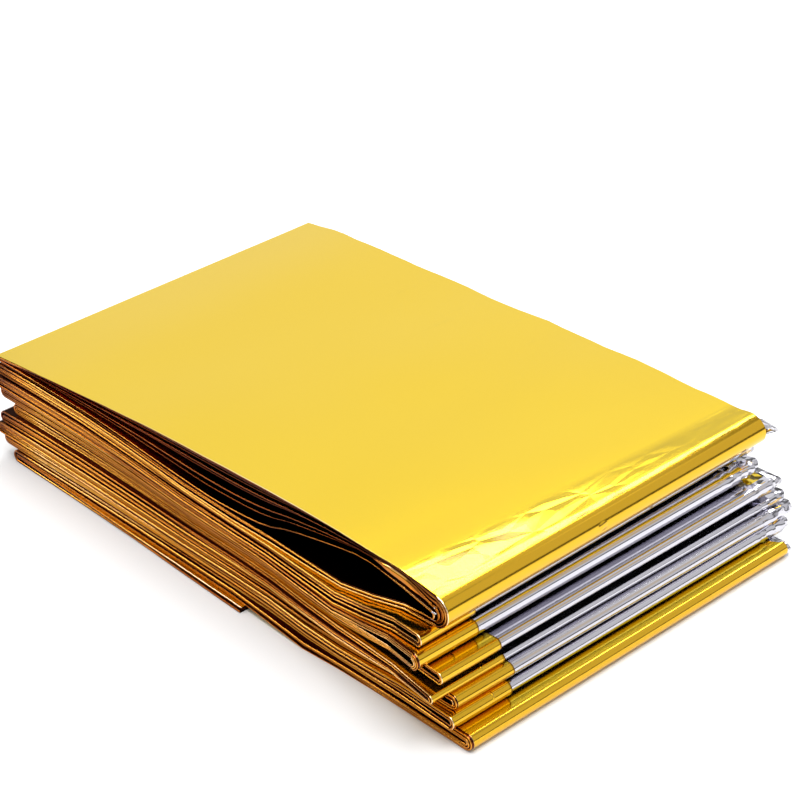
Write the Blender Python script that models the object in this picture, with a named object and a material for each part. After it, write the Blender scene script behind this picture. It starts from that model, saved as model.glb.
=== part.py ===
"""Emergency foil blanket in its folded, pocket-sized pack.

The blanket is one piece of metallised film. It is pleated lengthwise into a strip, and the strip
is folded back and forth, so the solid is one strip that runs from the top flap, round fold after
fold, to the loose end underneath. Metres, +Z up, origin under the middle of the pack.
Tables and sizes below are in millimetres, X along the runs and Y along the folds.
"""

import math
from collections import namedtuple

import bpy
import numpy as np
from mathutils import Matrix

MM = 0.001

# Thickness of one run, which is the whole pleated strip pressed flat, and the least air above it
RUN = 1.0
AIR = 0.3
PITCH = RUN + AIR

# Depth of the groove that the pleats leave in the strip's two long edges
GROOVE = 0.9

# The right-hand folds, from the top flap down. The film is looser here, so the folds stand open
RightFold = namedtuple("RightFold", "tip height front back")
RIGHT = [
    RightFold(tip=63.9, height=6.20, front=-41.9, back=41.6),
    RightFold(tip=61.0, height=2.60, front=-45.4, back=41.0),
    RightFold(tip=62.0, height=3.40, front=-47.3, back=40.6),
    RightFold(tip=64.8, height=2.35, front=-44.0, back=44.2),
    RightFold(tip=64.7, height=2.50, front=-46.4, back=45.0),
    RightFold(tip=66.0, height=3.10, front=-42.0, back=45.8),
    RightFold(tip=67.0, height=2.35, front=-43.5, back=42.4),
    RightFold(tip=70.1, height=3.10, front=-42.2, back=42.6),
]

# The left-hand folds, from under the flap down, all pressed flat. The fourth is drawn in
LeftFold = namedtuple("LeftFold", "tip front back")
LEFT = [
    LeftFold(tip=-62.6, front=-41.3, back=41.2),
    LeftFold(tip=-63.2, front=-41.8, back=40.8),
    LeftFold(tip=-62.4, front=-41.0, back=41.5),
    LeftFold(tip=-58.8, front=-40.6, back=41.0),
    LeftFold(tip=-62.0, front=-41.5, back=40.6),
    LeftFold(tip=-62.9, front=-41.9, back=41.3),
    LeftFold(tip=-62.0, front=-41.2, back=41.9),
    LeftFold(tip=-59.0, front=-41.2, back=41.4),
]
LEFT_HEIGHT = 2 * RUN + AIR

# The flap: its free end, and the height of its upper face along X, where it bows up over the pack
Level = namedtuple("Level", "x z")
FLAP_END = LeftFold(tip=-62.5, front=-41.1, back=41.1)
FLAP_TOP = [
    Level(x=-62.5, z=22.2),
    Level(x=-45.0, z=24.0),
    Level(x=-30.0, z=25.2),
    Level(x=-15.0, z=26.5),
    Level(x=0.0, z=27.4),
    Level(x=14.0, z=28.1),
    Level(x=28.0, z=28.5),
    Level(x=44.0, z=28.6),
    Level(x=54.0, z=28.2),
    Level(x=60.0, z=27.7),
]

# How much lower the flap's far edge lies than its near one
FLAP_DROP = [
    Level(x=-50.0, z=0.0),
    Level(x=-30.0, z=0.45),
    Level(x=-15.0, z=1.15),
    Level(x=0.0, z=1.3),
    Level(x=15.0, z=1.6),
    Level(x=30.0, z=1.45),
    Level(x=44.0, z=1.1),
    Level(x=54.0, z=0.5),
    Level(x=60.0, z=0.6),
]

# Two bundles of the flap's own layers that have sagged away from it into the hollow below, as the
# mid-height of each along X. Both ends of each run into the flap, and its edges lie a little inside
SAGGED_INSET = 0.6
SAGGED = [
    [
        Level(x=-54.0, z=22.3),
        Level(x=-46.0, z=21.7),
        Level(x=-36.0, z=21.35),
        Level(x=-10.0, z=21.35),
        Level(x=14.0, z=21.4),
        Level(x=24.0, z=22.1),
        Level(x=36.0, z=24.9),
        Level(x=43.0, z=26.5),
        Level(x=48.0, z=27.6),
    ],
    [
        Level(x=-37.0, z=23.6),
        Level(x=-29.0, z=23.4),
        Level(x=-20.0, z=23.4),
        Level(x=5.0, z=23.8),
        Level(x=18.0, z=24.2),
        Level(x=28.0, z=25.0),
        Level(x=36.0, z=26.3),
        Level(x=43.0, z=27.7),
    ],
]
SAGGED_STEP = 6.0

# Between these the bundles' far edges come down as much as the flap's, as they run into it
SAGGED_DROP_START = 18.0
SAGGED_DROP_END = 34.0

# The loose end of the strip, underneath, and where the runs above it have come down past it
LOOSE_END = LeftFold(tip=11.9, front=-43.4, back=40.2)
STEP_START = 12.4
STEP_END = 34.0

# The film is doubled up inside the topmost right-hand fold, from here to its tip
DOUBLED_START = 49.0
DOUBLED_END = 58.0
DOUBLED = 0.8

# Between these the runs rise from the pressed middle to the open right-hand folds
OPEN_START = 36.0
OPEN_END = 58.0

# Places along X where every run has a cross-section
STATIONS = [-56, -48, -38, -28, -18, -8, 2, 11, 15, 19, 23, 27, 32, 37, 41, 45, 49, 52, 55, 58]
ARC_STEPS = 9

# The edges waver along each run, and the far edge is crumpled near the right-hand folds
WAVER = 0.35
CRUMPLE = 1.1
CRUMPLE_START = 30.0

GOLD = (0.80, 0.58, 0.13, 1.0)
GOLD_ROUGHNESS = 0.22

# One cross-section: its middle, its outward normal, its two edges, any doubling inside it, and how
# much lower its far edge is
Station = namedtuple("Station", "x z nx nz front back inner drop")


def ease(start, end, x):
    """0 before start, 1 after end, and a soft step between."""
    s = min(max((x - start) / (end - start), 0.0), 1.0)
    return s * s * (3 - 2 * s)


def mix(a, b, share):
    return a + (b - a) * share


def level(rows, x):
    """Height at x of a smooth curve through the rows, level past either end."""
    last = len(rows) - 1
    if x >= rows[last].x:
        return rows[last].z
    if x <= rows[0].x:
        return rows[0].z

    def slope(i):
        before = rows[max(i - 1, 0)]
        after = rows[min(i + 1, last)]
        return (after.z - before.z) / (after.x - before.x)

    i = max(k for k in range(last) if rows[k].x <= x)
    span = rows[i + 1].x - rows[i].x
    s = (x - rows[i].x) / span
    from_here = (1 + 2 * s) * (1 - s) ** 2 * rows[i].z + s * (1 - s) ** 2 * span * slope(i)
    from_next = s * s * (3 - 2 * s) * rows[i + 1].z - s * s * (1 - s) * span * slope(i + 1)
    return from_here + from_next


def right_tops():
    """Height of each right-hand fold's top, found by stacking them from the floor up."""
    tops = []
    z = 0.0
    for fold in reversed(RIGHT):
        z += fold.height
        tops.insert(0, z)
        z += AIR
    return tops


RIGHT_TOPS = right_tops()
RUNS = 2 * len(RIGHT) + 1
LAST = RUNS - 1


def open_height(run):
    """Mid-height of a run where it meets its right-hand fold. Runs count from 0 at the top."""
    fold = min(run // 2, len(RIGHT) - 1)
    if run % 2 == 0:
        return RIGHT_TOPS[fold] - RUN / 2
    return RIGHT_TOPS[fold] - RIGHT[fold].height + RUN / 2


def run_height(run, x):
    """Mid-height of a run at x: pressed together in the middle, opened out towards the right."""
    if run == 0:
        return level(FLAP_TOP, x) - RUN / 2
    pressed = (LAST - run) * PITCH + RUN / 2
    if run == LAST:
        return pressed
    pressed -= PITCH * ease(STEP_START, STEP_END, x)
    return mix(pressed, open_height(run), ease(OPEN_START, OPEN_END, x))


def left_of(run):
    """The left-hand fold or free end of a run."""
    return FLAP_END if run == 0 else LEFT[(run - 1) // 2]


def right_of(run):
    """The right-hand fold or free end of a run."""
    return LOOSE_END if run == LAST else RIGHT[run // 2]


def edges(run, x):
    """Front and back edge of a run at x, wavering between its two folds."""
    left = left_of(run)
    right = right_of(run)
    share = (x - left.tip) / (right.tip - left.tip)
    wave = WAVER * math.sin(0.11 * x + 1.9 * run) + 0.5 * WAVER * math.sin(0.29 * x + 2.7 * run)
    inside = 4 * max(share * (1 - share), 0.0)
    crumple = CRUMPLE * math.sin(0.9 * x + 2.3 * run) * ease(CRUMPLE_START, OPEN_END, x)
    front = mix(left.front, right.front, share) + wave * inside
    back = mix(left.back, right.back, share) + wave * inside + (crumple if run else 0.0)
    return front, back


def doubled(run, x):
    return DOUBLED * ease(DOUBLED_START, DOUBLED_END, x) if run < 2 else 0.0


def drop_of(run, x):
    return level(FLAP_DROP, x) if run == 0 else 0.0


def run_stations(run, start, end):
    """Cross-sections along a run, from x = start to x = end."""
    low, high = sorted((start, end))
    places = [low] + [x for x in STATIONS if low + 1.5 < x < high - 1.5] + [high]
    if start > end:
        places.reverse()
    upright = 1 if start < end else -1
    return [
        Station(
            x,
            run_height(run, x),
            0.0,
            upright,
            *edges(run, x),
            doubled(run, x),
            drop_of(run, x),
        )
        for x in places
    ]


def fold_stations(run, centre_x, height):
    """Cross-sections round the fold below a run, without the two that the runs give."""
    rightward = run % 2 == 0
    radius = (height - RUN) / 2
    centre_z = run_height(run, centre_x) - radius
    found = []
    for step in range(1, ARC_STEPS):
        angle = math.pi * step / ARC_STEPS
        x = radius * math.sin(angle)
        z = radius * math.cos(angle)
        side = 1 if rightward else -1
        above = edges(run, centre_x)
        below = edges(run + 1, centre_x)
        front = mix(above[0], below[0], step / ARC_STEPS)
        back = mix(above[1], below[1], step / ARC_STEPS)
        normal = (x / radius, z / radius) if rightward else (x / radius, -z / radius)
        found.append(
            Station(
                centre_x + side * x,
                centre_z + z,
                *normal,
                front,
                back,
                doubled(run, centre_x),
                drop_of(run, centre_x) * (1 + z / radius) / 2,
            )
        )
    return found


def strip_stations():
    """Every cross-section of the strip, from the flap's free end to the loose end below."""
    found = []
    x = FLAP_END.tip
    for run in range(RUNS):
        rightward = run % 2 == 0
        target = right_of(run) if rightward else left_of(run)
        if run == LAST:
            found += run_stations(run, x, LOOSE_END.tip)
            break
        height = target.height if rightward else LEFT_HEIGHT
        centre_x = target.tip - height / 2 if rightward else target.tip + height / 2
        found += run_stations(run, x, centre_x)
        found += fold_stations(run, centre_x, height)
        x = centre_x
    return found


def sagged_stations(rows):
    """Cross-sections of a bundle that hangs in the hollow, its edges set in from the flap's."""
    steps = math.ceil((rows[-1].x - rows[0].x) / SAGGED_STEP)
    found = []
    for i in range(steps + 1):
        x = mix(rows[0].x, rows[-1].x, i / steps)
        front, back = edges(0, x)
        drop = drop_of(0, x) * ease(SAGGED_DROP_START, SAGGED_DROP_END, x)
        found.append(
            Station(
                x,
                level(rows, x),
                0.0,
                1,
                front + SAGGED_INSET,
                back - SAGGED_INSET,
                0.0,
                drop,
            )
        )
    return found


def ring(station):
    """The six corners of one cross-section, with a groove in each long edge."""
    outer = RUN / 2
    inner = RUN / 2 + station.inner
    shape = [
        (station.front, outer, 0.0),
        (station.front + GROOVE, 0.0, 0.0),
        (station.front, -inner, 0.0),
        (station.back, -inner, station.drop),
        (station.back - GROOVE, 0.0, station.drop),
        (station.back, outer, station.drop),
    ]
    return [
        (station.x + off * station.nx, y, station.z + off * station.nz - drop)
        for y, off, drop in shape
    ]


def swept(name, stations):
    """An object with a closed mesh through the rings, capped at both ends."""
    rings = [ring(station) for station in stations]
    size = len(rings[0])
    points = np.array([point for corners in rings for point in corners]) * MM
    faces = [tuple(reversed(range(size)))]
    for i in range(len(rings) - 1):
        for k in range(size):
            a = i * size + k
            b = i * size + (k + 1) % size
            faces.append((a, b, b + size, a + size))
    last = (len(rings) - 1) * size
    faces.append(tuple(last + k for k in range(size)))
    mesh = bpy.data.meshes.new(name)
    mesh.from_pydata(points.tolist(), [], faces)
    swept_object = bpy.data.objects.new(name, mesh)
    bpy.context.scene.collection.objects.link(swept_object)
    return swept_object


def join(body, extra):
    """Unions extra into body and leaves it out of the part."""
    union = body.modifiers.new(extra.name, "BOOLEAN")
    union.operation = "UNION"
    union.object = extra
    extra.hide_render = True
    extra.hide_viewport = True
    extra.display_type = "WIRE"


def centre_on_floor(objects):
    """Moves the meshes so that the first stands on z = 0, about the middle of its own box."""
    mesh = objects[0].data
    points = np.array([vertex.co for vertex in mesh.vertices])
    low = points.min(axis=0)
    high = points.max(axis=0)
    shift = Matrix.Translation((-(low[0] + high[0]) / 2, -(low[1] + high[1]) / 2, -low[2]))
    for moved in objects:
        moved.data.transform(shift)


def film_material():
    material = bpy.data.materials.new("gold_film")
    material.use_nodes = True
    shader = material.node_tree.nodes["Principled BSDF"]
    shader.inputs["Base Color"].default_value = GOLD
    shader.inputs["Metallic"].default_value = 1.0
    shader.inputs["Roughness"].default_value = GOLD_ROUGHNESS
    return material


def main():
    for old in list(bpy.data.objects):
        bpy.data.objects.remove(old, do_unlink=True)
    blanket = swept("blanket", strip_stations())
    sagged = [swept(f"sagged_{i}", sagged_stations(rows)) for i, rows in enumerate(SAGGED)]
    centre_on_floor([blanket, *sagged])
    for bundle in sagged:
        join(blanket, bundle)
    blanket.data.materials.append(film_material())
    blanket.data.shade_smooth()
    blanket.data.set_sharp_from_angle(angle=math.radians(40))


main()
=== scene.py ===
"""Emergency foil blanket in its folded pack: the film itself, pleated into a strip, and the strip
folded back and forth, with its gold and its silver face, on a pale floor.

Tables and sizes are in millimetres, X along the runs, Y along the folds and Z up, in the pack's own
measuring frame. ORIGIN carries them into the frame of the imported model.
"""

import math
from collections import namedtuple

import bpy
import numpy as np
from mathutils import Matrix, Vector, noise


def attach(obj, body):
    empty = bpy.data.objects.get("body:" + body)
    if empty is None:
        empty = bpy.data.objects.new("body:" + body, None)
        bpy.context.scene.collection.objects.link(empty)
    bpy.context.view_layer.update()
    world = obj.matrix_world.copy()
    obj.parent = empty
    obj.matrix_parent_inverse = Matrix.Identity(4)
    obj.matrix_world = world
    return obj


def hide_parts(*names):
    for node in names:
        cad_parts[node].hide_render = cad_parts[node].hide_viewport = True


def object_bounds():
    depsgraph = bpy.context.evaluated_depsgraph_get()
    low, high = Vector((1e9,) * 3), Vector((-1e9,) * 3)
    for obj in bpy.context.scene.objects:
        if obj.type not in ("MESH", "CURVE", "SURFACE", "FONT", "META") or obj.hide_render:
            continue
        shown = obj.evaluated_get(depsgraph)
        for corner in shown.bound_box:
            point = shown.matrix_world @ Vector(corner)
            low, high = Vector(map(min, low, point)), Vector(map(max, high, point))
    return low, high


MM = 0.001
SEED = 7

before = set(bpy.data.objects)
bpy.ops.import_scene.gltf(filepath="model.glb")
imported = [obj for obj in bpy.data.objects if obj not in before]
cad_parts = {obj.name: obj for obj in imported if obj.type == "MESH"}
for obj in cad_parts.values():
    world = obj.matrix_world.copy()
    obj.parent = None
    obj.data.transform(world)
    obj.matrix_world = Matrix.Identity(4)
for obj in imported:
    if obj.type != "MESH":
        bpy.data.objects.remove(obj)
cad_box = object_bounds()

# The pack's leftmost and foremost points in the measuring frame
LEFTMOST = -63.2
FOREMOST = -47.3
ORIGIN = Vector((cad_box[0][0] - LEFTMOST * MM, cad_box[0][1] - FOREMOST * MM, 0.0))

# Film layers across one run, paired by the pleats at the front edge, and the modelled film
LAYERS = 16
PAIRS = LAYERS // 2
FILM = 0.02

# The right-hand folds, top to bottom: how far the tip reaches at the front and the back, the air
# above, the height, the thickness of the bundle of films, the edges, and how far back the
# outermost, gold layer goes
RightFold = namedtuple("RightFold", "tip tip_back air height wall front back gold")
RIGHT = [
    RightFold(63.9, 62.2, 0.00, 6.20, 1.60, -41.9, 42.0, 41.6),
    RightFold(61.0, 59.0, 0.30, 2.60, 0.95, -45.4, 41.2, -32.1),
    RightFold(62.0, 61.4, 0.30, 3.30, 1.00, -47.3, 40.8, -31.9),
    RightFold(64.8, 64.2, 0.30, 2.50, 0.92, -44.0, 44.4, -29.6),
    RightFold(64.6, 64.5, 1.15, 1.70, 0.72, -46.4, 45.0, -28.4),
    RightFold(66.0, 66.0, 0.08, 2.85, 1.00, -42.0, 45.8, -28.0),
    RightFold(67.0, 66.2, 0.08, 2.80, 1.00, -43.5, 45.4, -28.6),
    RightFold(70.1, 69.0, 0.30, 3.10, 1.38, -42.2, 42.6, 42.0),
]

# The left-hand folds, pressed flat, top to bottom. The fourth is drawn in
LeftFold = namedtuple("LeftFold", "tip front back gold")
HIDDEN_CUFF = -30.0
LEFT = [
    LeftFold(-62.6, -41.3, 41.2, 40.6),
    LeftFold(-63.2, -41.8, 40.8, HIDDEN_CUFF),
    LeftFold(-62.4, -41.0, 41.5, HIDDEN_CUFF),
    LeftFold(-58.8, -40.6, 41.0, HIDDEN_CUFF),
    LeftFold(-62.0, -41.5, 40.6, HIDDEN_CUFF),
    LeftFold(-62.9, -41.9, 41.3, HIDDEN_CUFF),
    LeftFold(-62.0, -41.2, 41.9, HIDDEN_CUFF),
    LeftFold(-59.0, -41.2, 41.4, 40.8),
]
FLAP_END = LeftFold(-62.5, -41.1, 41.1, 41.1)
LOOSE_END = LeftFold(11.9, -43.4, 40.2, 39.8)

# Heights along X: the flap's upper face at its front and back edge, the lowest of the flap's own
# layers that sag from it, and the top of the runs pressed together below
Level = namedtuple("Level", "x z")
FLAP_FRONT = [
    Level(-62.5, 22.2),
    Level(-45, 24.0),
    Level(-30, 25.2),
    Level(-15, 26.5),
    Level(0, 27.4),
    Level(14, 28.1),
    Level(28, 28.5),
    Level(44, 28.6),
    Level(54, 28.2),
    Level(60, 27.7),
]
FLAP_BACK = [
    Level(-62.5, 22.1),
    Level(-53, 23.3),
    Level(-44, 24.1),
    Level(-30, 24.75),
    Level(-15, 25.35),
    Level(0, 26.1),
    Level(15, 26.5),
    Level(30, 27.05),
    Level(46, 27.5),
    Level(54, 27.6),
    Level(60, 27.35),
]
SAGGED = [
    Level(-62.5, 21.1),
    Level(-50, 21.3),
    Level(-40, 21.2),
    Level(-30, 20.9),
    Level(-15, 19.8),
    Level(0, 18.7),
    Level(10, 19.0),
    Level(17, 20.0),
    Level(22, 21.7),
    Level(29, 23.4),
    Level(37, 25.0),
    Level(43, 25.8),
    Level(51.5, 24.9),
    Level(57, 24.1),
    Level(60, 23.6),
]
STACK_TOP = [
    Level(-62, 20.8),
    Level(-45, 20.9),
    Level(-30, 20.5),
    Level(-15, 19.4),
    Level(0, 18.4),
    Level(10, 18.5),
    Level(22, 18.6),
    Level(33, 18.2),
    Level(42, 18.3),
]
PRESSED_FILL = 0.96

# Where the runs step down past the loose end, and where they open towards the right-hand folds
STEP_START = 12.4
STEP_END = 30.0
OPEN_START = 36.0
OPEN_END = 58.0
RUNS = 2 * len(RIGHT) + 1
LAST = RUNS - 1

# The run above the loose end bulges forwards just past it
BULGE = 0.7
BULGE_X = 24.0
BULGE_WIDTH = 9.0

# Along a run, from its left end, 0, to its right end, 1: where its back edge moves over from the
# left-hand fold's to the right-hand fold's, and how late its front edge does, as a power
BACK_SHIFT = (0.62, 0.95)
FLAP_BACK_SHIFT = (0.93, 0.975)
FRONT_POWER = 4

# The topmost fold's innermost film, a small loop low inside the big one
LOOP = 0.55
LOOP_X = 59.6
LOOP_Z = 23.1

# Where the flap's layers part into a fan
FAN_OUT = (-60.0, -48.0)

# Cross-sections along the runs, and the least distance from a run's end to the next one
CLEAR_OF_END = 1.5
FLAP_STEP = 3.6
FLAP_FINE_START = 44.0
FLAP_FINE_PLACES = [46.5, 48.5, 50.2, 51.5, 52.6, 53.5, 54.5, 55.6, 56.8, 58.0, 59.0, 59.9]
RUN_PLACES = [-50, -36, -21, -6, 8, 18, 28, 37, 45, 53]
TOP_ARC = 14
RIGHT_ARC = 13
LEFT_ARC = 5

# Small lengthwise ridges round the right-hand folds
RIDGE = 0.10

# How far a left-hand fold's turn starts from its tip, in thicknesses of the run
LEFT_TURN = 1.04

# Samples across the two outermost layers
OUTER_SAMPLES = 30
SECOND_SAMPLES = 18

# How far in from the back edge the inner layers bend to their crumpled end, as a share
INNER_BEND = 0.12

# How the pleats' edges wander along the strip: how far, and over what length
FRONT_WANDER = (0.20, 40)
FRONT_FINE_WANDER = (0.04, 6)
BACK_WANDER = (0.5, 30)
BACK_CRUMPLE = (1.3, 3.1)
GOLD_WANDER = (0.4, 9)

# How far the back pleats are drawn in: each by up to BACK_INSET, and more under the flap, left of
# UNDER_FLAP_END, and round the topmost fold. The sheet's inner edge is drawn in too
BACK_INSET = 1.2
UNDER_FLAP_INSET = 0.9
UNDER_FLAP_END = 57
TURN_INSET = 1.5
INNER_EDGE_INSET = 1.5

# How far a pleat's turn reaches past its layers, in its radii, and at most
TURN_REACH = 1.25
TURN_MOST = 0.9

# Crumpled film at the folds' back ends: how far in it reaches, and how far it stands out
CRUMPLED_END = 8.0
CRUMPLE = 1.1
INNER_CRUMPLE = 0.4

# A wisp of film that stands out behind the topmost fold: how far, where round it, how wide, and
# how steeply it hangs
TAIL = 4.8
TAIL_PLACE = 0.26
TAIL_WIDTH = 0.11
TAIL_DROOP = 0.75

# The flap's old crease, where its flat part ends and the crinkled strip before the fold begins
CREASE_FRONT = 52.6
CREASE_BACK = 54.8
FLAP_FOLD = 60.8

# The flap's cross-sections slant with the crease from here on
SLANT_START = 10.0

# How bright the film's colour is painted along a front pleat, as painted light and shade: from 0,
# near-black painted shade, to 1, a pale painted highlight line
# DEEP is the painted shade between the pleats, thin pleats are painted darker than fat ones, and LINE_TONE
# and LINES paint highlight lines
DEEP = 0.16
WEDGE_TONES = (0.58, 0.03)
WEDGE_REACH = (-25.0, 20.0)
THIN_TONES = (0.22, 0.46)
FAT_TONES = [0.44, 0.56, 0.49, 0.74, 0.61, 0.47, 0.68, 0.53]
LINE_TONE = 1.0
LINE_SHARE = 0.8
LINES = (0.40, 0.80)
FAT_PLEATS = [(0, 7), (1, 7), (0, 3, 7), (0, 6), (0, 5), (1, 4, 7), (0, 7)]

# The loose end's tones are painted darker than the rest, and a painted highlight runs along its upper edge
# towards its tip
LOOSE_TONE = 0.75
BRIGHT_END = (-45.0, -5.0)

# The pleats darken towards the left-hand folds
LEFT_SHADE = (-61.0, -52.0)
LEFT_DARKEST = 0.45

# A painted highlight along the flap's front edge, brightest in its middle
RIM_START = -40.0
RIM_MOST = 22.0
RIM_END = 56.0
RIM_WIDTHS = (0.0, 0.12, 0.26)
RIM_TONE = 1.0
RIM_SHARE = 0.6

Station = namedtuple("Station", "run side a b a_back b_back front back gold fold")


def ease(start, end, x):
    """0 before start, 1 after end, and a soft step between."""
    s = min(max((x - start) / (end - start), 0.0), 1.0)
    return s * s * (3 - 2 * s)


def mix(a, b, share):
    return a + (b - a) * share


def tent(x, start, peak, end):
    """Straight up from 0 at start to 1 at the peak, and straight down to 0 at end."""
    return max(0.0, min((x - start) / (peak - start), (end - x) / (end - peak)))


def level(rows, x):
    """Height at x of a smooth curve through the rows, level past either end."""
    last = len(rows) - 1
    if x >= rows[last].x:
        return rows[last].z
    if x <= rows[0].x:
        return rows[0].z

    def slope(i):
        before = rows[max(i - 1, 0)]
        after = rows[min(i + 1, last)]
        return (after.z - before.z) / (after.x - before.x)

    i = max(k for k in range(last) if rows[k].x <= x)
    span = rows[i + 1].x - rows[i].x
    s = (x - rows[i].x) / span
    from_here = (1 + 2 * s) * (1 - s) ** 2 * rows[i].z + s * (1 - s) ** 2 * span * slope(i)
    from_next = s * s * (3 - 2 * s) * rows[i + 1].z - s * s * (1 - s) * span * slope(i + 1)
    return from_here + from_next


def right_tops():
    """Height of each right-hand fold's top, found by stacking them from the floor up."""
    tops = []
    z = 0.0
    for fold in reversed(RIGHT):
        z += fold.height
        tops.insert(0, z)
        z += fold.air
    return tops


RIGHT_TOPS = right_tops()


def faces_of_run(run, x):
    """Heights of a run's upper and lower face at x."""
    if run == 0:
        return level(FLAP_FRONT, x), level(SAGGED, x)
    step = ease(STEP_START, STEP_END, x)
    below = LAST - step
    pitch = level(STACK_TOP, x) / below
    middle = (LAST - run + 0.5 - step) * pitch
    half = pitch * PRESSED_FILL / 2
    if run == LAST:
        half = level(STACK_TOP, x) / LAST * PRESSED_FILL / 2
        return 2 * half, 0.0
    fold = RIGHT[run // 2]
    top = RIGHT_TOPS[run // 2]
    opened = ease(OPEN_START, OPEN_END, x)
    if run == 1:
        open_faces = (LOOP_Z - LOOP, top - fold.height)
    elif run % 2 == 0:
        open_faces = (top, top - fold.wall)
    else:
        open_faces = (top - fold.height + fold.wall, top - fold.height)
    return mix(middle + half, open_faces[0], opened), mix(middle - half, open_faces[1], opened)


def left_of(run):
    return FLAP_END if run == 0 else LEFT[(run - 1) // 2]


def right_of(run):
    return LOOSE_END if run == LAST else RIGHT[run // 2]


def run_station(run, x, x_back):
    """A cross-section of a run. Side a is the one that is outside at the right-hand folds."""
    upper, lower = faces_of_run(run, x)
    drop = level(FLAP_FRONT, x) - level(FLAP_BACK, x_back) if run == 0 else 0.0
    top = ((x, upper), (x_back, upper - drop))
    bottom = ((x, lower), (x_back, lower))
    a, b = (top, bottom) if run % 2 == 0 else (bottom, top)
    left = left_of(run)
    right = right_of(run)
    share = min(max((x - left.tip) / (right.tip - left.tip), 0.0), 1.0)
    late = ease(*(BACK_SHIFT if run else FLAP_BACK_SHIFT), share)
    out = share if run >= LAST - 1 else share**FRONT_POWER
    bulge = BULGE * math.exp(-(((x - BULGE_X) / BULGE_WIDTH) ** 2)) if run == LAST - 1 else 0.0
    return Station(
        run,
        share if run % 2 == 0 else 1 - share,
        a[0],
        b[0],
        a[1],
        b[1],
        mix(left.front, right.front, out) - bulge,
        mix(left.back, right.back, late),
        mix(left.gold, right.gold, share if run else late),
        0.0,
    )


def run_places(run, start, end, shift):
    """Places along a run, and the shift of each at the back edge, from start to end."""
    low, high = sorted((start, end))
    if run == 0:
        coarse = np.linspace(low, FLAP_FINE_START, round((FLAP_FINE_START - low) / FLAP_STEP))
        places = list(coarse) + FLAP_FINE_PLACES + [high]
        slant = CREASE_BACK - CREASE_FRONT
        slants = [slant * tent(x, SLANT_START, CREASE_FRONT, high) for x in places]
        shifts = [shift * ease(CREASE_FRONT, high, x) for x in places]
        return [(x, x + slanted + shifted) for x, slanted, shifted in zip(places, slants, shifts)]
    inside = [x for x in RUN_PLACES if low + CLEAR_OF_END < x < high - CLEAR_OF_END]
    places = [low] + inside + [high]
    if start > end:
        places.reverse()
    return [(x, x + shift * ease(0.0, 1.0, (x - low) / (high - low))) for x in places]


def arc_point(x, z, radius, angle, side):
    return x + side * radius * math.sin(angle), z + radius * math.cos(angle)


def right_fold_stations(fold_index):
    """Cross-sections round a right-hand fold, from its run above to its run below."""
    fold = RIGHT[fold_index]
    top = RIGHT_TOPS[fold_index]
    radius = fold.height / 2
    outer = (fold.tip - radius, top - radius)
    shift = fold.tip_back - fold.tip
    run = 2 * fold_index
    drop = level(FLAP_FRONT, 60) - level(FLAP_BACK, 60) if run == 0 else 0.0
    inner = (LOOP_X, LOOP_Z, LOOP) if run == 0 else (*outer, radius - fold.wall)
    count = TOP_ARC if run == 0 else RIGHT_ARC
    found = []
    for i in range(1, count):
        angle = math.pi * i / count
        ridge = RIDGE * noise.noise(Vector((7.3 * fold_index, 3.4 * angle, 2.0)))
        a = arc_point(*outer, radius + ridge * math.sin(angle), angle, 1)
        b = arc_point(*inner, angle, 1)
        lower = drop * (1 + math.cos(angle)) / 2
        found.append(
            Station(
                run,
                1 + i / count,
                a,
                b,
                (a[0] + shift, a[1] - lower),
                (b[0] + shift, b[1]),
                fold.front,
                fold.back,
                fold.gold,
                1.0,
            )
        )
    return found


def left_fold_stations(run, x):
    """Cross-sections round the left-hand fold below a run that ends at x."""
    fold = left_of(run)
    upper = faces_of_run(run, x)
    lower = faces_of_run(run + 1, x)
    centre_z = (upper[1] + lower[0]) / 2
    inner = (upper[1] - lower[0]) / 2
    outer = (upper[0] - lower[1]) / 2
    found = []
    for i in range(1, LEFT_ARC):
        angle = math.pi * i / LEFT_ARC
        a = arc_point(x, centre_z, inner, angle, -1)
        b = arc_point(x, centre_z, outer, angle, -1)
        found.append(
            Station(run, 1 + i / LEFT_ARC, a, b, a, b, fold.front, fold.back, fold.gold, 0.0)
        )
    return found


def strip_stations():
    """Every cross-section of the strip, from the flap's free end to the loose end underneath."""
    found = []
    x = FLAP_END.tip
    for run in range(RUNS):
        if run == LAST:
            ends = (x, LOOSE_END.tip)
            shift = 0.0
        elif run % 2 == 0:
            fold = RIGHT[run // 2]
            ends = (x, fold.tip - fold.height / 2)
            shift = fold.tip_back - fold.tip
        else:
            upper, lower = faces_of_run(run, LEFT[(run - 1) // 2].tip + 1)
            ends = (x, LEFT[(run - 1) // 2].tip + (upper - lower) * LEFT_TURN)
            fold = RIGHT[run // 2]
            shift = fold.tip_back - fold.tip
        found += [run_station(run, *place) for place in run_places(run, *ends, shift)]
        if run == LAST:
            break
        if run % 2 == 0:
            found += right_fold_stations(run // 2)
        else:
            found += left_fold_stations(run, ends[1])
        x = ends[1]
    return found


Pleats = namedtuple("Pleats", "depths insets tones lines under")

# Thickness of a thin and of a fat front pleat beside the others, and how far each is drawn in
THIN_WEIGHTS = (0.25, 0.5)
FAT_WEIGHTS = (2.2, 3.4)
THIN_INSETS = (0.35, 0.8)
FAT_INSETS = (0.0, 0.2)
PLEAT_ENDS = (0.05, 0.95)


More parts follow.
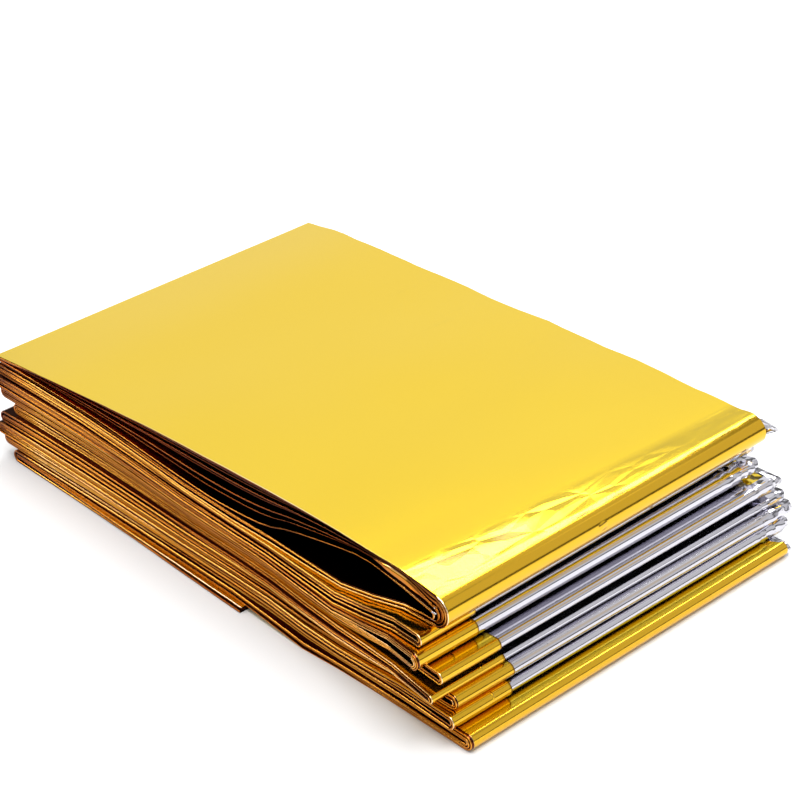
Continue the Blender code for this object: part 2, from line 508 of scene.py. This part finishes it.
def pressed_pleats(rng):
    """The front pleats of a pressed run: most are thin and drawn in, and two or three are fat."""
    weights = rng.uniform(*THIN_WEIGHTS, PAIRS)
    for pair in FAT_PLEATS[int(rng.integers(len(FAT_PLEATS)))]:
        weights[pair] = rng.uniform(*FAT_WEIGHTS)
    edges = np.concatenate([[0.0], np.cumsum(weights)]) / weights.sum()
    depths = []
    for pair in range(PAIRS):
        depths += [mix(edges[pair], edges[pair + 1], share) for share in PLEAT_ENDS]
    fat = weights > 1
    insets = np.where(fat, rng.uniform(*FAT_INSETS, PAIRS), rng.uniform(*THIN_INSETS, PAIRS))
    tones = np.where(fat, rng.choice(FAT_TONES, PAIRS), rng.uniform(*THIN_TONES, PAIRS))
    lines = np.where(fat & (rng.random(PAIRS) < LINE_SHARE), rng.uniform(*LINES, PAIRS), 0.0)
    return Pleats(np.array(depths), insets, tones, lines, np.zeros(PAIRS))


def even_depths():
    return (np.arange(LAYERS) + 0.5) / LAYERS


# The flap's pleats where they part, for each pair: where they lie, from 0 to 1, how thick each is,
# how far it is drawn in, its tone of painted light and shade, and how bright a painted highlight line it
# shows. By the fold they close up again
Fan = namedtuple("Fan", "depths thickness insets tones lines")
PARTED = Fan(
    np.array([0.0, 0.10, 0.19, 0.28, 0.40, 0.57, 0.76, 0.955]),
    np.array([0.03, 0.03, 0.02, 0.03, 0.02, 0.03, 0.02, 0.035]),
    np.array([0.0, 0.6, 0.9, 0.4, 0.9, 0.6, 0.9, 0.3]),
    np.array([0.18, 0.12, 0.22, 0.12, 0.20, 0.14, 0.20, 0.24]),
    np.array([0.0, 0.18, 0.22, 0.25, 0.25, 0.3, 0.3, 0.6]),
)
CLOSED = Fan(
    np.array([0.0, 0.15, 0.30, 0.38, 0.52, 0.62, 0.76, 0.90]),
    np.array([0.12, 0.10, 0.05, 0.11, 0.07, 0.11, 0.08, 0.10]),
    np.array([0.0, 0.1, 0.5, 0.2, 0.5, 0.2, 0.5, 0.1]),
    np.array([0.14, 0.34, 0.22, 0.36, 0.24, 0.36, 0.24, 0.46]),
    np.array([0.0, 1.0, 0.1, 0.3, 0.2, 0.4, 0.2, 1.0]),
)
CLOSING = (44.0, 56.0)

# One of them stands open near the fold, a copper lens painted lighter than its shade, between two painted
# highlight lines
LENS_PAIR = 6
LENS_DEPTH = 0.61
LENS_WIDTH = 0.56
LENS_TONE = 0.52
LENS_INSET = 0.05
LENS_LOWER_LINE = 0.7
SQUEEZED_BY_LENS = 0.5
LENS_REACH = (43.5, 49.5, 53.0, 60.0)


def fanned_pleats(x):
    closed = ease(*CLOSING, x)
    fan = Fan(*(mix(parted, shut, closed) for parted, shut in zip(PARTED, CLOSED)))
    lens = ease(*LENS_REACH[:2], x) * (1 - ease(*LENS_REACH[2:], x))
    starts = fan.depths.copy()
    ends = fan.depths + fan.thickness
    starts[LENS_PAIR] = mix(starts[LENS_PAIR], LENS_DEPTH - LENS_WIDTH / 2, lens)
    ends[LENS_PAIR] = mix(ends[LENS_PAIR], LENS_DEPTH + LENS_WIDTH / 2, lens)
    for pair in range(LENS_PAIR):
        starts[pair] = mix(starts[pair], starts[pair] * SQUEEZED_BY_LENS, lens)
        ends[pair] = mix(ends[pair], ends[pair] * SQUEEZED_BY_LENS, lens)
    tones = fan.tones.copy()
    tones[LENS_PAIR] = mix(tones[LENS_PAIR], LENS_TONE, lens)
    lines = fan.lines.copy()
    lines[LENS_PAIR] = mix(lines[LENS_PAIR], 1.0, lens)
    insets = fan.insets.copy()
    insets[LENS_PAIR] = mix(insets[LENS_PAIR], LENS_INSET, lens)
    under = np.zeros(PAIRS)
    under[LENS_PAIR] = LENS_LOWER_LINE * lens
    depths = np.stack([starts, ends], axis=1).ravel()
    return Pleats(depths, insets, tones, lines, under)


def blend(here, after, share):
    return Pleats(*(mix(first, second, share) for first, second in zip(here, after)))


def pleat_tables(stations, rng):
    """The front pleats at every cross-section, as arrays with one row for each."""
    controls = [pressed_pleats(rng) for _ in range(RUNS + 1)]
    found = []
    for s in stations:
        pleats = blend(controls[s.run], controls[s.run + 1], min(s.side, 1.0))
        if s.run == 0:
            pleats = blend(pleats, fanned_pleats(s.a[0]), ease(*FAN_OUT, s.a[0]))
        elif s.run == 1:
            pleats = blend(fanned_pleats(60.0), pleats, ease(0.0, 0.07, s.side))
        if s.run >= LAST - 1 and s.side <= 1:
            insets = pleats.insets.copy()
            insets[[0, PAIRS - 1]] = 0.0
            lines = pleats.lines.copy()
            # The loose end: a painted highlight along its upper edge, and its tones painted darker
            if s.run == LAST:
                lines[0] = ease(*BRIGHT_END, s.a[0])
                lines[1:] *= 1 - lines[0]
                pleats = pleats._replace(tones=LOOSE_TONE * pleats.tones)
            pleats = pleats._replace(insets=insets, lines=lines)
        # Round the right-hand folds the outermost pleats get painted highlight lines
        if s.fold:
            lines = pleats.lines.copy()
            lines[0] = 1.0
            lines[PAIRS - 1] = 1.0
            pleats = pleats._replace(lines=lines)
        else:
            light = mix(LEFT_DARKEST, 1.0, ease(*LEFT_SHADE, s.a[0]))
            pleats = pleats._replace(tones=light * pleats.tones, lines=light * pleats.lines)
        found.append(pleats)
    return Pleats(*(np.array(column) for column in zip(*found)))


def smooth_noise(values, seed):
    """A slow, even wander between about -1 and 1, one number for each value."""
    return np.array([2 * noise.noise(Vector((value, seed, 0.5 * seed))) for value in values])


def layer_samples(layer):
    """Shares across a layer at which it has points, from one edge to the other."""
    if layer > 1:
        return np.array([0.0, 1 - INNER_BEND, 1.0] if layer % 2 else [0.0, INNER_BEND, 1.0])
    return np.linspace(0, 1, OUTER_SAMPLES if layer == 0 else SECOND_SAMPLES)


Column = namedtuple("Column", "y depth layer kind edge tone")


class Sheet:
    """The film as a grid: one row for each cross-section, one column for each place across it."""

    def __init__(self, stations):
        rng = np.random.default_rng(SEED)
        self.stations = stations
        self.a = np.array([s.a for s in stations])
        self.b = np.array([s.b for s in stations])
        self.a_back = np.array([s.a_back for s in stations])
        self.b_back = np.array([s.b_back for s in stations])
        self.thick = np.hypot(*(self.a - self.b).T)
        self.along = self.path_lengths()
        self.front = np.array([s.front for s in stations])
        self.back = np.array([s.back for s in stations])
        self.gold = np.array([s.gold for s in stations])
        self.fold = np.array([s.fold for s in stations])
        self.depths, self.insets, self.tones, self.lines, self.under = pleat_tables(stations, rng)
        self.upward = np.array([s.run % 2 == 0 for s in stations])
        on_flap = np.array([s.run == 0 for s in stations])
        # The deep tone of the inner layers is painted light and shade: on the flap copper at the left,
        # darkening to near-black painted shade in its hollow towards the right
        hollow = np.array([ease(*WEDGE_REACH, s.a[0]) for s in stations])
        self.deep = np.where(on_flap, mix(*WEDGE_TONES, hollow), DEEP)
        self.rim = np.array(
            [tent(s.a[0], RIM_START, RIM_MOST, RIM_END) if s.run == 0 else 0.0 for s in stations]
        )
        self.cuffed = np.array([1.0 if s.gold < 0 else 0.0 for s in stations])
        self.back_depths = np.repeat(even_depths()[None], len(stations), axis=0)
        self.back_insets = rng.uniform(0.0, BACK_INSET, (1, PAIRS)) + np.zeros((len(stations), 1))
        self.columns = []
        self.build_columns()

    def path_lengths(self):
        middle = (self.a + self.b) / 2
        steps = np.hypot(*np.diff(middle, axis=0).T)
        return np.concatenate([[0.0], np.cumsum(steps)])

    def wander(self, size, seed):
        reach, length = size
        return reach * smooth_noise(self.along / length, seed)

    def pleat_edge(self, pair):
        """Y of the tip of a front pleat, wandering along the strip."""
        wander = self.wander(FRONT_WANDER, 3.1 + pair)
        fine = self.wander(FRONT_FINE_WANDER, 11.7 + pair)
        return self.front + self.insets[:, pair] + wander + fine

    def back_edge(self, pair):
        """Y of the tip of a back pleat, crumpled where the film stands open at the right."""
        crumpled = np.array([max(s.fold, ease(50, 60, s.a[0])) for s in self.stations])
        wander = self.wander(BACK_WANDER, 21.3 + pair)
        crumple = self.wander(BACK_CRUMPLE, 31.9 + pair)
        hidden = np.array([s.run == 0 and s.a[0] < UNDER_FLAP_END for s in self.stations])
        under_flap = UNDER_FLAP_INSET * hidden
        turn = np.array([(s.side - 1) * s.fold if s.run == 0 else 0.0 for s in self.stations])
        drawn_in = TURN_INSET * turn
        if pair == 0:
            drawn_in -= TAIL * np.exp(-(((turn - TAIL_PLACE) / TAIL_WIDTH) ** 4))
        insets = self.back_insets[:, pair] + under_flap + drawn_in
        return self.back - insets + wander + crumple * crumpled

    def add(self, y, depth, layer, kind, edge=0.0, tone=0.0):
        nothing = np.zeros(len(self.stations))
        self.columns.append(
            Column(np.asarray(y), np.asarray(depth), layer, kind, nothing + edge, nothing + tone)
        )

    def add_pleat(self, first, edge, at_front, points):
        """The film's turn from one layer to the next, a hairpin round the strip's edge."""
        table = self.depths if at_front else self.back_depths
        half = (table[:, first + 1] - table[:, first]) / 2
        middle = (table[:, first + 1] + table[:, first]) / 2
        radius = half * self.thick
        reach = self.reach(radius)
        way = 1 if at_front else -1
        for i in range(1, points + 1):
            angle = math.pi * i / (points + 1) - math.pi / 2
            y = edge + way * reach * (1 - math.cos(angle))
            depth = middle + half * math.sin(angle)
            if not at_front:
                self.add(y, depth, first, "back")
                continue
            # Painted highlight lines on the upper and the lower turn of a pleat
            above = np.where(self.upward, i == 1, i == points)
            below = np.where(self.upward, i == points, i == 1)
            line = self.lines[:, first // 2] * above + self.under[:, first // 2] * below
            tone = mix(self.tones[:, first // 2], LINE_TONE, line)
            self.add(y, depth, first, "front", 1.0, tone)

    def reach(self, radius):
        return np.minimum(radius * TURN_REACH, TURN_MOST)

    def build_columns(self):
        fronts = [self.pleat_edge(pair) for pair in range(PAIRS)]
        backs = [self.back_edge(pair) for pair in range(PAIRS - 1)]
        for layer in range(LAYERS):
            pair = layer // 2
            back_pair = (layer - 1) // 2
            half = (self.depths[:, 2 * pair + 1] - self.depths[:, 2 * pair]) / 2
            front = fronts[pair] + self.reach(half * self.thick)
            if layer == 0:
                back = self.gold + self.wander(GOLD_WANDER, 41.0)
            elif layer == LAYERS - 1:
                back = self.back - INNER_EDGE_INSET
            else:
                gap = (self.back_depths[:, 1] - self.back_depths[:, 0]) / 2
                back = backs[back_pair] - self.reach(gap * self.thick)
            for share in layer_samples(layer):
                across = 1 - share if layer % 2 == 0 else share
                y = mix(front, back, across)
                depth = mix(self.depths[:, layer], self.back_depths[:, layer], across)
                # Painted shade: the inner layers are painted towards the deep tone near the front edge,
                # and the gold layer's end on a cuff gets a dark painted line
                if layer:
                    self.add(y, depth, layer, "flat", 1 - across, self.deep)
                elif across == 1:
                    self.add(y, depth, layer, "flat", self.cuffed, DEEP)
                elif across > 0:
                    self.add(y, depth, layer, "flat")
            if layer == 0:
                # The painted highlight along the flap's front edge
                for step in reversed(RIM_WIDTHS):
                    pale = RIM_SHARE * self.rim * (step < RIM_WIDTHS[-1])
                    self.add(front + step, self.depths[:, 0], 0, "flat", pale, RIM_TONE)
            if layer % 2 == 0:
                self.add_pleat(layer, fronts[pair], True, 4)
            elif layer < LAYERS - 1:
                self.add_pleat(layer, backs[(layer - 1) // 2], False, 2)

    def points(self):
        """The grid's points in millimetres, indexed by row, column and axis."""
        y = np.stack([column.y for column in self.columns], axis=1)
        depth = np.stack([column.depth for column in self.columns], axis=1)[..., None]
        share = (y - self.front[:, None]) / (self.back - self.front)[:, None]
        share = np.clip(share, 0, 1)[..., None]
        front = self.a[:, None] + (self.b - self.a)[:, None] * depth
        back = self.a_back[:, None] + (self.b_back - self.a_back)[:, None] * depth
        middle = front + (back - front) * share
        outward = (self.a - self.b) / np.maximum(self.thick, 1e-6)[:, None]
        relief = self.relief(y)
        middle = middle + outward[:, None] * relief[..., None]
        topmost = np.array([1.0 if s.run == 0 and s.fold else 0.0 for s in self.stations])
        past = np.clip(y - self.back[:, None] - 0.5, 0, None) * topmost[:, None]
        return np.stack([middle[..., 0], y, middle[..., 1] - TAIL_DROOP * past], axis=-1)

    def relief(self, y):
        """How far each point stands out from the plain fold, along its outward side."""
        found = np.zeros_like(y)
        for c, column in enumerate(self.columns):
            seed = 0.12 * column.layer
            for r, s in enumerate(self.stations):
                depth = column.depth[r]
                here = y[r, c]
                if s.run == 0 and s.side <= 1:
                    x = mix(s.a[0], s.a_back[0], (here - s.front) / (s.back - s.front))
                    found[r, c] = flap_relief(x, here, here - s.front, column.layer == 0)
                    if column.layer:
                        found[r, c] -= under_strip(x, here - s.front)
                    found[r, c] *= 1 - depth
                if column.layer and (s.fold or s.a[0] > OPEN_END - 6):
                    end = ease(s.back - CRUMPLED_END, s.back - 1.0, here)
                    place = Vector((self.along[r] / 2.1, here / 3.0, seed))
                    moved = CRUMPLE * abs(noise.noise(place)) * end
                    bared = column.layer == 1 and s.gold < 0
                    found[r, c] += moved if bared else -INNER_CRUMPLE * moved
        return found


def crease_at(y):
    return mix(CREASE_FRONT, CREASE_BACK, (y + 41) / 82)


def flap_relief(x, y, y_in, outermost):
    """The flap's broad waves, its crease, and the crinkles between the crease and the fold."""
    broad = 0.20 * noise.noise(Vector((x / 38, y / 30, 4.0))) * (1 - ease(53.0, 59.5, x))
    crease = crease_at(y)
    near = 1 - ease(-38.0, 4.0, y)
    found = broad + mix(0.04, 0.40, near) * tent(x, crease - 7.0, crease, FLAP_FOLD)
    if outermost:
        strip = ease(crease, crease + 1.5, x) * (1 - ease(57.5, 59.8, x)) * ease(0.0, 5.0, y_in)
        found += strip * mix(0.05, 0.13, near) * noise.noise(Vector((x / 4.5, y / 6.5, 9.0)))
    return found


def under_strip(x, y_in):
    """How far the layers under the crinkled strip keep clear of it, past its front edge."""
    return 0.6 * ease(0.0, 4.0, y_in) * ease(44.0, 49.0, x) * (1 - ease(59.0, 61.5, x))


def grid_normals(points):
    """Unit normals of the grid, on the side of the gold face."""
    down = np.gradient(points, axis=0)
    across = np.gradient(points, axis=1)
    normals = np.cross(across, down)
    return normals / np.maximum(np.linalg.norm(normals, axis=-1, keepdims=True), 1e-9)


def grid_faces(rows, columns, start):
    """Quads of a grid of points that are numbered from start, row by row."""
    corner = (start + np.arange(rows - 1)[:, None] * columns + np.arange(columns - 1)).ravel()
    return np.stack([corner, corner + 1, corner + columns + 1, corner + columns], axis=1)


def rim_faces(rows, columns):
    """Quads that join the two faces of the film all round its edge."""
    last = (rows - 1) * columns
    rim = (
        list(range(columns - 1))
        + [r * columns + columns - 1 for r in range(rows - 1)]
        + [last + c for c in range(columns - 1, 0, -1)]
        + [r * columns for r in range(rows - 1, 0, -1)]
    )
    rim = np.array(rim)
    after = np.roll(rim, -1)
    other = rows * columns
    return np.stack([rim, rim + other, after + other, after], axis=1)


# A painted reflection: how much gold from its neighbour is painted on each right-hand fold, in a band low
# on the fold
PAINTED_REFLECTION_SHARE = [0.0, 0.75, 0.85, 0.6, 0.0, 0.5, 0.0, 0.0]
PAINTED_REFLECTION_PLACE = 0.22
PAINTED_REFLECTION_WIDTH = 0.07


def reflected_gold(station):
    if not station.fold:
        return 0.0
    turn = station.side - 1
    return PAINTED_REFLECTION_SHARE[station.run // 2] * max(0.0, 1 - abs(turn - PAINTED_REFLECTION_PLACE) / PAINTED_REFLECTION_WIDTH)


def film_object(sheet):
    """The film as one closed mesh, gold on one face and silver on the other."""
    points = sheet.points()
    normals = grid_normals(points)
    rows, columns = points.shape[:2]
    both = np.concatenate([points + normals * FILM / 2, points - normals * FILM / 2])
    corners = both.reshape(-1, 3) * MM + np.array(ORIGIN)
    gold = grid_faces(rows, columns, 0)
    silver = grid_faces(rows, columns, rows * columns)[:, ::-1]
    faces = np.concatenate([gold, silver, rim_faces(rows, columns)])
    mesh = bpy.data.meshes.new("film")
    mesh.from_pydata(corners.tolist(), [], faces.tolist())
    across = np.concatenate([[0], np.cumsum(np.linalg.norm(np.diff(points, axis=1), axis=2).mean(0))])
    along = sheet.along
    flat = np.stack(np.broadcast_arrays(across[None], along[:, None]), axis=-1) * MM
    uv = np.concatenate([flat.reshape(-1, 2)] * 2)
    layer = mesh.uv_layers.new(name="flat")
    loops = np.zeros(len(mesh.loops), np.int32)
    mesh.loops.foreach_get("vertex_index", loops)
    layer.data.foreach_set("uv", uv[loops].ravel())
    crumple = np.zeros((rows, columns))
    scuffed = np.zeros((rows, columns))
    strip_shade = np.zeros((rows, columns))
    for r, s in enumerate(sheet.stations):
        if s.run == 0 and s.side <= 1:
            x = points[r, :, 0]
            y = points[r, :, 1]
            crumple[r] = np.clip((x - crease_at(y)) / 1.0, 0, 1) * np.clip(1.2 - (y + 41) / 60, 0.3, 1)
            scuffed[r] = np.clip((y - 12) / 16, 0, 1) * np.clip((x + 52) / 20, 0, 1)
            # Painted shade: the crinkled strip from just before the crease to the fold is painted a darker
            # gold
            strip_shade[r] = np.clip((x - crease_at(y) + 1) / 2, 0, 1) * np.clip((59.6 - x) / 1.0, 0, 1)
    on_folds = np.repeat([[s.fold] for s in sheet.stations], columns, axis=1)
    opened = np.array([max(s.fold, ease(46, 56, s.a[0])) for s in sheet.stations])[:, None]
    from_back = np.array([s.back for s in sheet.stations])[:, None] - points[..., 1]
    inner = np.array([column.layer > 0 for column in sheet.columns])
    ends = inner * opened * np.clip(1 - (from_back - 1) / CRUMPLED_END, 0, 1)
    painted_reflection = np.array([reflected_gold(s) for s in sheet.stations])[:, None] * np.clip(from_back - 6, 0, 1)
    edge = np.stack([column.edge for column in sheet.columns], axis=1)
    tone = np.stack([column.tone for column in sheet.columns], axis=1)
    fields = {
        "crumple": crumple,
        "scuffed": scuffed,
        "strip_shade": strip_shade,
        "on_folds": on_folds,
        "ends": ends,
        "painted_reflection": painted_reflection,
        "edge": edge,
        "tone": tone,
    }
    for name, values in fields.items():
        attribute = mesh.attributes.new(name, "FLOAT", "POINT")
        attribute.data.foreach_set("value", np.concatenate([values.ravel()] * 2))
    mesh.materials.append(film_material(GOLD))
    mesh.materials.append(film_material(SILVER))
    index = np.zeros(len(faces), np.int32)
    index[len(gold) : len(gold) + len(silver)] = 1
    mesh.polygons.foreach_set("material_index", index)
    mesh.shade_smooth()
    mesh.set_sharp_from_angle(angle=math.radians(75))
    mesh.update()
    film = bpy.data.objects.new("film", mesh)
    bpy.context.scene.collection.objects.link(film)
    return film


def new_material(name):
    material = bpy.data.materials.new(name)
    material.use_nodes = True
    nodes = material.node_tree.nodes
    return material, nodes, material.node_tree.links, nodes["Principled BSDF"]


# Painted light and shade along a front pleat by its tone, from near-black painted shade through copper, a
# painted reflection of gold in gold, to a pale painted highlight: where, then red, green and blue
EDGE_RAMP = [
    (0.00, (0.014, 0.004, 0.003)),
    (0.20, (0.13, 0.026, 0.010)),
    (0.42, (0.42, 0.13, 0.018)),
    (0.62, (0.68, 0.26, 0.03)),
    (0.78, (0.92, 0.50, 0.07)),
    (0.88, (0.86, 0.54, 0.28)),
    (1.00, (1.00, 0.84, 0.66)),
]


def attribute_node(nodes, name):
    found = nodes.new("ShaderNodeAttribute")
    found.attribute_name = name
    return found.outputs["Fac"]


def product(nodes, links, first, second):
    found = nodes.new("ShaderNodeMath")
    found.operation = "MULTIPLY"
    links.new(first, found.inputs[0])
    links.new(second, found.inputs[1])
    return found.outputs["Value"]


def away_from_edge(nodes, links, value):
    """A value that fades to nothing on the front pleats."""
    found = nodes.new("ShaderNodeMapRange")
    found.inputs["To Min"].default_value = value
    found.inputs["To Max"].default_value = 0.0
    links.new(attribute_node(nodes, "edge"), found.inputs["Value"])
    return found.outputs["Result"]


def colour_mix(nodes, links, factor, first, second):
    """A colour node between two colours, each a value or a socket."""
    found = nodes.new("ShaderNodeMix")
    found.data_type = "RGBA"
    links.new(factor, found.inputs["Factor"])
    for name, colour in (("A", first), ("B", second)):
        if isinstance(colour, tuple):
            found.inputs[name].default_value = (*colour, 1.0)
        else:
            links.new(colour, found.inputs[name])
    return found.outputs["Result"]


def edge_colour(nodes, links):
    ramp = nodes.new("ShaderNodeValToRGB")
    stops = ramp.color_ramp.elements
    while len(stops) < len(EDGE_RAMP):
        stops.new(0.5)
    for stop, (place, colour) in zip(stops, EDGE_RAMP):
        stop.position = place
        stop.color = (*colour, 1.0)
    links.new(attribute_node(nodes, "tone"), ramp.inputs["Fac"])
    return ramp.outputs["Color"]


def noise_on(nodes, links, place, scale, detail):
    found = nodes.new("ShaderNodeTexNoise")
    found.inputs["Scale"].default_value = scale
    found.inputs["Detail"].default_value = detail
    links.new(place, found.inputs["Vector"])
    return found.outputs["Fac"]


def stretched(nodes, links, flat, across, along, turn):
    found = nodes.new("ShaderNodeMapping")
    found.inputs["Rotation"].default_value = (0.0, 0.0, turn)
    found.inputs["Scale"].default_value = (across, along, 1.0)
    links.new(flat, found.inputs["Vector"])
    return found.outputs["Vector"]


def film_relief(nodes, links, flat):
    """Normals for fine wrinkles, scratches, the crinkled strip, nicks on the folds and their ends."""
    wrinkles = noise_on(nodes, links, flat, 420.0, 4.0)
    hairlines = noise_on(nodes, links, stretched(nodes, links, flat, 2600.0, 260.0, 0.0), 1.0, 2.0)
    scratch_lines = noise_on(nodes, links, stretched(nodes, links, flat, 90.0, 1500.0, 0.5), 1.0, 1.0)
    thin = nodes.new("ShaderNodeMapRange")
    thin.inputs["From Min"].default_value = 0.66
    thin.inputs["From Max"].default_value = 0.74
    links.new(scratch_lines, thin.inputs["Value"])
    scratches = product(nodes, links, thin.outputs["Result"], attribute_node(nodes, "scuffed"))
    creases = nodes.new("ShaderNodeTexVoronoi")
    creases.feature = "DISTANCE_TO_EDGE"
    creases.inputs["Scale"].default_value = 230.0
    links.new(flat, creases.inputs["Vector"])
    crinkles = product(nodes, links, creases.outputs["Distance"], attribute_node(nodes, "crumple"))
    spots = nodes.new("ShaderNodeTexVoronoi")
    spots.inputs["Scale"].default_value = 160.0
    links.new(flat, spots.inputs["Vector"])
    spot = nodes.new("ShaderNodeMapRange")
    spot.inputs["From Min"].default_value = 0.11
    spot.inputs["From Max"].default_value = 0.02
    links.new(spots.outputs["Distance"], spot.inputs["Value"])
    nicks = product(nodes, links, spot.outputs["Result"], attribute_node(nodes, "on_folds"))
    facets = nodes.new("ShaderNodeTexVoronoi")
    facets.inputs["Scale"].default_value = 420.0
    links.new(flat, facets.inputs["Vector"])
    end_facets = product(nodes, links, facets.outputs["Distance"], attribute_node(nodes, "ends"))
    normal = None
    for source, strength, distance in (
        (wrinkles, 0.10, 0.00006),
        (hairlines, 0.10, 0.00002),
        (scratches, 0.35, 0.00003),
        (crinkles, 0.6, 0.0006),
        (nicks, 1.0, 0.0003),
        (end_facets, 1.0, 0.0010),
    ):
        bump = nodes.new("ShaderNodeBump")
        links.new(away_from_edge(nodes, links, strength), bump.inputs["Strength"])
        bump.inputs["Distance"].default_value = distance
        links.new(source, bump.inputs["Height"])
        if normal is not None:
            links.new(normal, bump.inputs["Normal"])
        normal = bump.outputs["Normal"]
    return normal


Film = namedtuple("Film", "name dark light roughness coat")


def film_material(film):
    """A bright metallised face with faint colour drift, handling scratches and fine wrinkles, with painted
    shade on the gold folds and crinkled strip, painted light and shade on the front pleats, and a painted
    reflection of gold on the silver folds.
    """
    material, nodes, links, shader = new_material(film.name)
    uv = nodes.new("ShaderNodeUVMap")
    uv.uv_map = "flat"
    flat = uv.outputs["UV"]
    drift = noise_on(nodes, links, flat, 14.0, 3.0)
    colour = colour_mix(nodes, links, drift, film.dark, film.light)
    if film == GOLD:
        # Painted shade: the crinkled strip is painted a darker gold
        colour = colour_mix(nodes, links, attribute_node(nodes, "strip_shade"), colour, STRIP_SHADE_GOLD)
        # Painted shade: the folds are painted a darker gold
        colour = colour_mix(nodes, links, attribute_node(nodes, "on_folds"), colour, SHADED_FOLD_GOLD)
        colour = colour_mix(nodes, links, attribute_node(nodes, "edge"), colour, edge_colour(nodes, links))
    else:
        # A painted reflection of the neighbouring gold, low on the right-hand folds
        colour = colour_mix(nodes, links, attribute_node(nodes, "painted_reflection"), colour, PAINTED_REFLECTION_GOLD)
    links.new(colour, shader.inputs["Base Color"])

    gloss = nodes.new("ShaderNodeMapRange")
    gloss.inputs["To Min"].default_value = film.roughness[0]
    gloss.inputs["To Max"].default_value = film.roughness[1]
    links.new(drift, gloss.inputs["Value"])
    links.new(gloss.outputs["Result"], shader.inputs["Roughness"])
    links.new(film_relief(nodes, links, flat), shader.inputs["Normal"])
    shader.inputs["Metallic"].default_value = 1.0
    links.new(away_from_edge(nodes, links, film.coat), shader.inputs["Coat Weight"])
    shader.inputs["Coat Roughness"].default_value = 0.06
    return material


GOLD = Film("gold_film", (0.87, 0.585, 0.012), (0.94, 0.665, 0.024), (0.12, 0.18), 0.25)
SILVER = Film("silver_film", (0.56, 0.55, 0.61), (0.72, 0.71, 0.77), (0.09, 0.14), 0.0)
# Painted shade: the darker gold of the folds
SHADED_FOLD_GOLD = (0.79, 0.46, 0.021)
# Painted shade: the darker gold of the crinkled strip
STRIP_SHADE_GOLD = (0.60, 0.42, 0.018)
# Painted reflection: the gold painted on the silver folds
PAINTED_REFLECTION_GOLD = (0.62, 0.40, 0.09)


FLOOR_SIZE = 6.0


def floor():
    """A plain pale floor, not part of the object."""
    mesh = bpy.data.meshes.new("floor")
    half = FLOOR_SIZE / 2
    corners = [(-half, -half, 0), (half, -half, 0), (half, half, 0), (-half, half, 0)]
    mesh.from_pydata(corners, [], [(0, 1, 2, 3)])
    material, nodes, links, shader = new_material("floor")
    grain = nodes.new("ShaderNodeTexNoise")
    grain.inputs["Scale"].default_value = 30.0
    tone = nodes.new("ShaderNodeMix")
    tone.data_type = "RGBA"
    tone.inputs["A"].default_value = (0.86, 0.86, 0.86, 1.0)
    tone.inputs["B"].default_value = (0.88, 0.88, 0.88, 1.0)
    links.new(grain.outputs["Fac"], tone.inputs["Factor"])
    links.new(tone.outputs["Result"], shader.inputs["Base Color"])
    shader.inputs["Roughness"].default_value = 0.9
    mesh.materials.append(material)
    obj = bpy.data.objects.new("floor", mesh)
    bpy.context.scene.collection.objects.link(obj)
    return obj


def aimed(obj, place, target):
    """Puts a light or a camera at a place, looking at a target."""
    way = Vector(target) - Vector(place)
    obj.matrix_world = Matrix.Translation(place) @ way.to_track_quat("-Z", "Y").to_matrix().to_4x4()


def direction(azimuth, elevation):
    """Unit vector from the pack towards a viewer: azimuth 0 is in front, 90 at the right."""
    a = math.radians(azimuth)
    e = math.radians(elevation)
    return Vector((math.sin(a) * math.cos(e), -math.cos(a) * math.cos(e), math.sin(e)))


Softbox = namedtuple("Softbox", "name azimuth elevation distance width height watts")
SOFTBOXES = [
    Softbox("behind", 218, 29, 1.3, 1.13, 0.80, 2.4),
    Softbox("behind_high", 209, 50, 1.25, 0.62, 0.28, 6.2),
    Softbox("right_back", 144, 30, 1.5, 1.5, 1.0, 2.9),
    Softbox("right_high", 176, 55, 1.4, 0.75, 0.40, 0.55),
    Softbox("left_strip", 292, 44, 1.3, 0.20, 0.9, 3.6),
    Softbox("left_front", 315, 24, 1.5, 0.9, 0.6, 1.1),
    Softbox("top", 90, 84, 1.5, 1.2, 1.2, 22),
    Softbox("viewer_side", 46, 50, 1.6, 1.4, 1.0, 5.0),
    Softbox("front_low", 46, 14, 1.6, 1.6, 0.6, 1.6),
    Softbox("back_low", 183, 16, 1.5, 0.55, 0.6, 0.6),
    Softbox("right_low", 90, 16, 1.6, 1.1, 0.6, 1.0),
]
ROOM_LIGHT = 0.14


def lights():
    for box in SOFTBOXES:
        data = bpy.data.lights.new(box.name, "AREA")
        data.shape = "RECTANGLE"
        data.size = box.width
        data.size_y = box.height
        data.energy = box.watts
        lamp = bpy.data.objects.new(box.name, data)
        bpy.context.scene.collection.objects.link(lamp)
        aimed(lamp, direction(box.azimuth, box.elevation) * box.distance, (0, 0, 0))
    world = bpy.data.worlds.new("room")
    world.use_nodes = True
    world.node_tree.nodes["Background"].inputs["Color"].default_value = (1.0, 1.0, 1.0, 1.0)
    world.node_tree.nodes["Background"].inputs["Strength"].default_value = ROOM_LIGHT
    bpy.context.scene.world = world


# The camera, solved from the photograph: lens on a 36 mm sensor, and where it looks from
LENS = 124.62
SENSOR = 36.0
VIEW_AZIMUTH = 46.319
VIEW_ELEVATION = 30.771
VIEW_DISTANCE = 567.31
VIEW_TARGET = (-22.729, 29.765, 0.0)


def camera():
    data = bpy.data.cameras.new("camera")
    data.lens = LENS
    data.sensor_width = SENSOR
    data.clip_start = 0.01
    view = bpy.data.objects.new("camera", data)
    bpy.context.scene.collection.objects.link(view)
    target = Vector(VIEW_TARGET) * MM + ORIGIN
    aimed(view, target + direction(VIEW_AZIMUTH, VIEW_ELEVATION) * VIEW_DISTANCE * MM, target)
    bpy.context.scene.camera = view


def main():
    bpy.context.scene.view_settings.view_transform = "Standard"
    camera()
    lights()
    ground = floor()
    film = film_object(Sheet(strip_stations()))
    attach(film, "root")
    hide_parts("blanket")


main()
